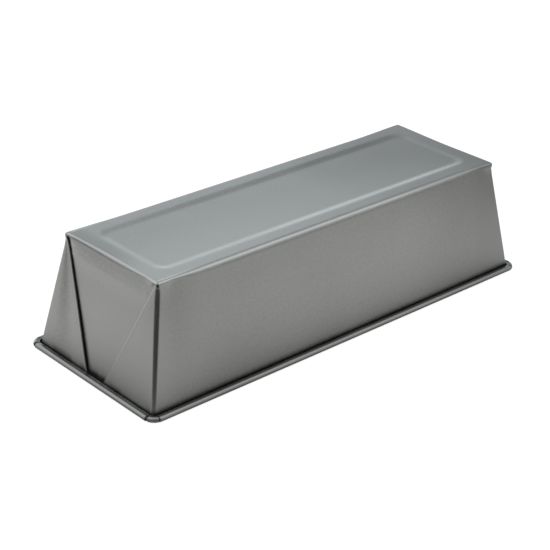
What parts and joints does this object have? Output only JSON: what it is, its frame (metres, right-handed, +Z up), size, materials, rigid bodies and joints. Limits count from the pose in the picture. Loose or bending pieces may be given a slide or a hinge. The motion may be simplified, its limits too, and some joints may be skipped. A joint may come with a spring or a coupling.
{
  "type": "loaf pan",
  "caption": "Loaf pan folded from one steel sheet, with gusset flaps laid flat on both ends, a stamped base and a wired, rolled rim, upside down on its rim.",
  "frame": {"origin": "on the ground, under the middle of the rim, with the pan upside down as in the picture", "axes": "+X along the length, +Y across the width, +Z up through the base; the open mouth faces -Z"},
  "size_m": [0.3, 0.114, 0.073],
  "materials": {
    "coated_sheet": "satin grey metallic non-stick coating",
    "wire": "dull drawn steel wire"
  },
  "bodies": {
    "root": {"pan_shell": "coated_sheet", "rim_wire": "wire"}
  },
  "joints": []
}
